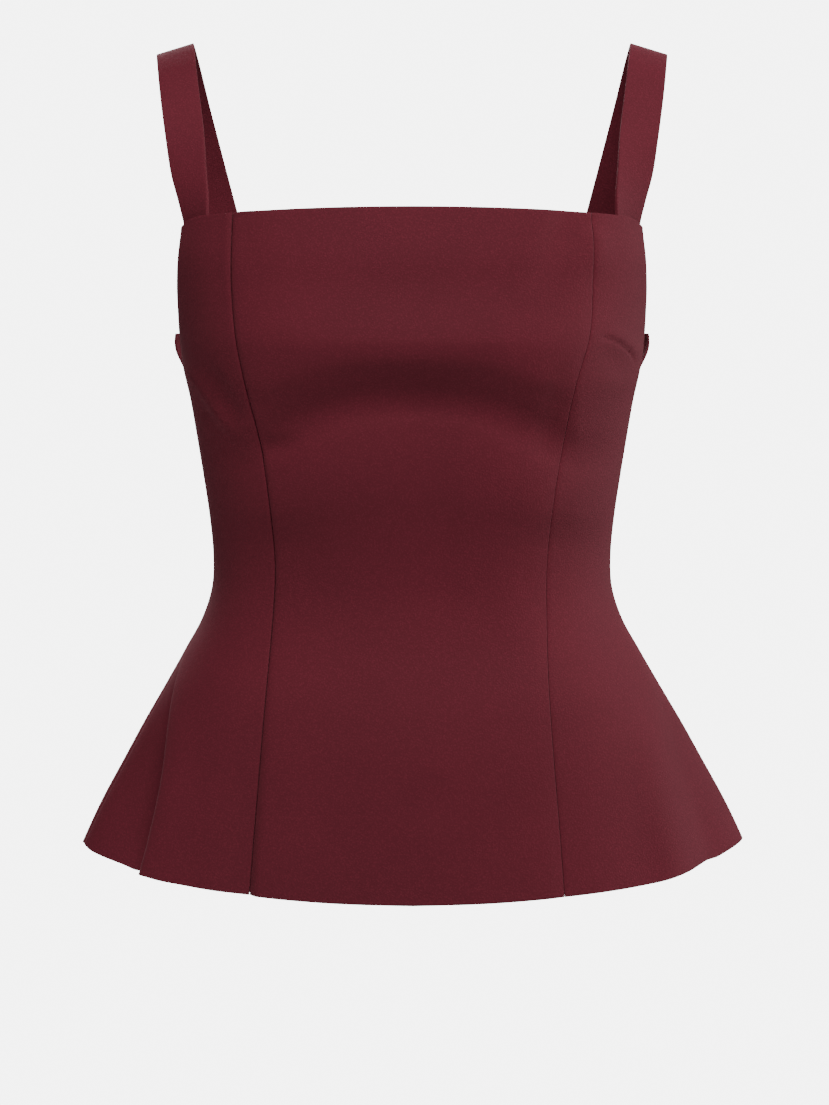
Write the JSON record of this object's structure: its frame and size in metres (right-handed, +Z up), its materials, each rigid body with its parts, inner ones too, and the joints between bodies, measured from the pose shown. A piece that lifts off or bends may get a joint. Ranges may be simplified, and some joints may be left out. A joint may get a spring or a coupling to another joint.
{
  "type": "peplum top",
  "caption": "Fitted sleeveless peplum top with a square neckline, wide shoulder straps, princess seams, a flared hem and a back zip, hollow as worn.",
  "frame": {"origin": "midway between the tops of the two shoulder straps, where the shoulders hold the garment up", "axes": "+Z up, the front faces -Y, +X to the right as seen from the front"},
  "size_m": [0.4175, 0.267, 0.5226],
  "materials": {
    "cloth": "matte burgundy crepe with a fine pebbled grain",
    "zip_tape": "matte woven tape and coil",
    "zip_metal": "satin enamel in the cloth's colour"
  },
  "bodies": {
    "garment": {"front_centre": "cloth", "side_front_left": "cloth", "side_front_right": "cloth", "side_back_left": "cloth", "side_back_right": "cloth", "back_left": "cloth", "back_right": "cloth", "strap_left": "cloth", "strap_right": "cloth", "zip_chain": "zip_tape", "zip_slider": "zip_metal"},
    "pull": {"zip_pull": "zip_metal"}
  },
  "joints": [
    {"name": "pull_swing", "type": "hinge", "parent": "garment", "child": "pull", "pos_m": [0, 0.1108, -0.19], "axis": [1, 0, 0], "range_deg": [0, 160]}
  ]
}
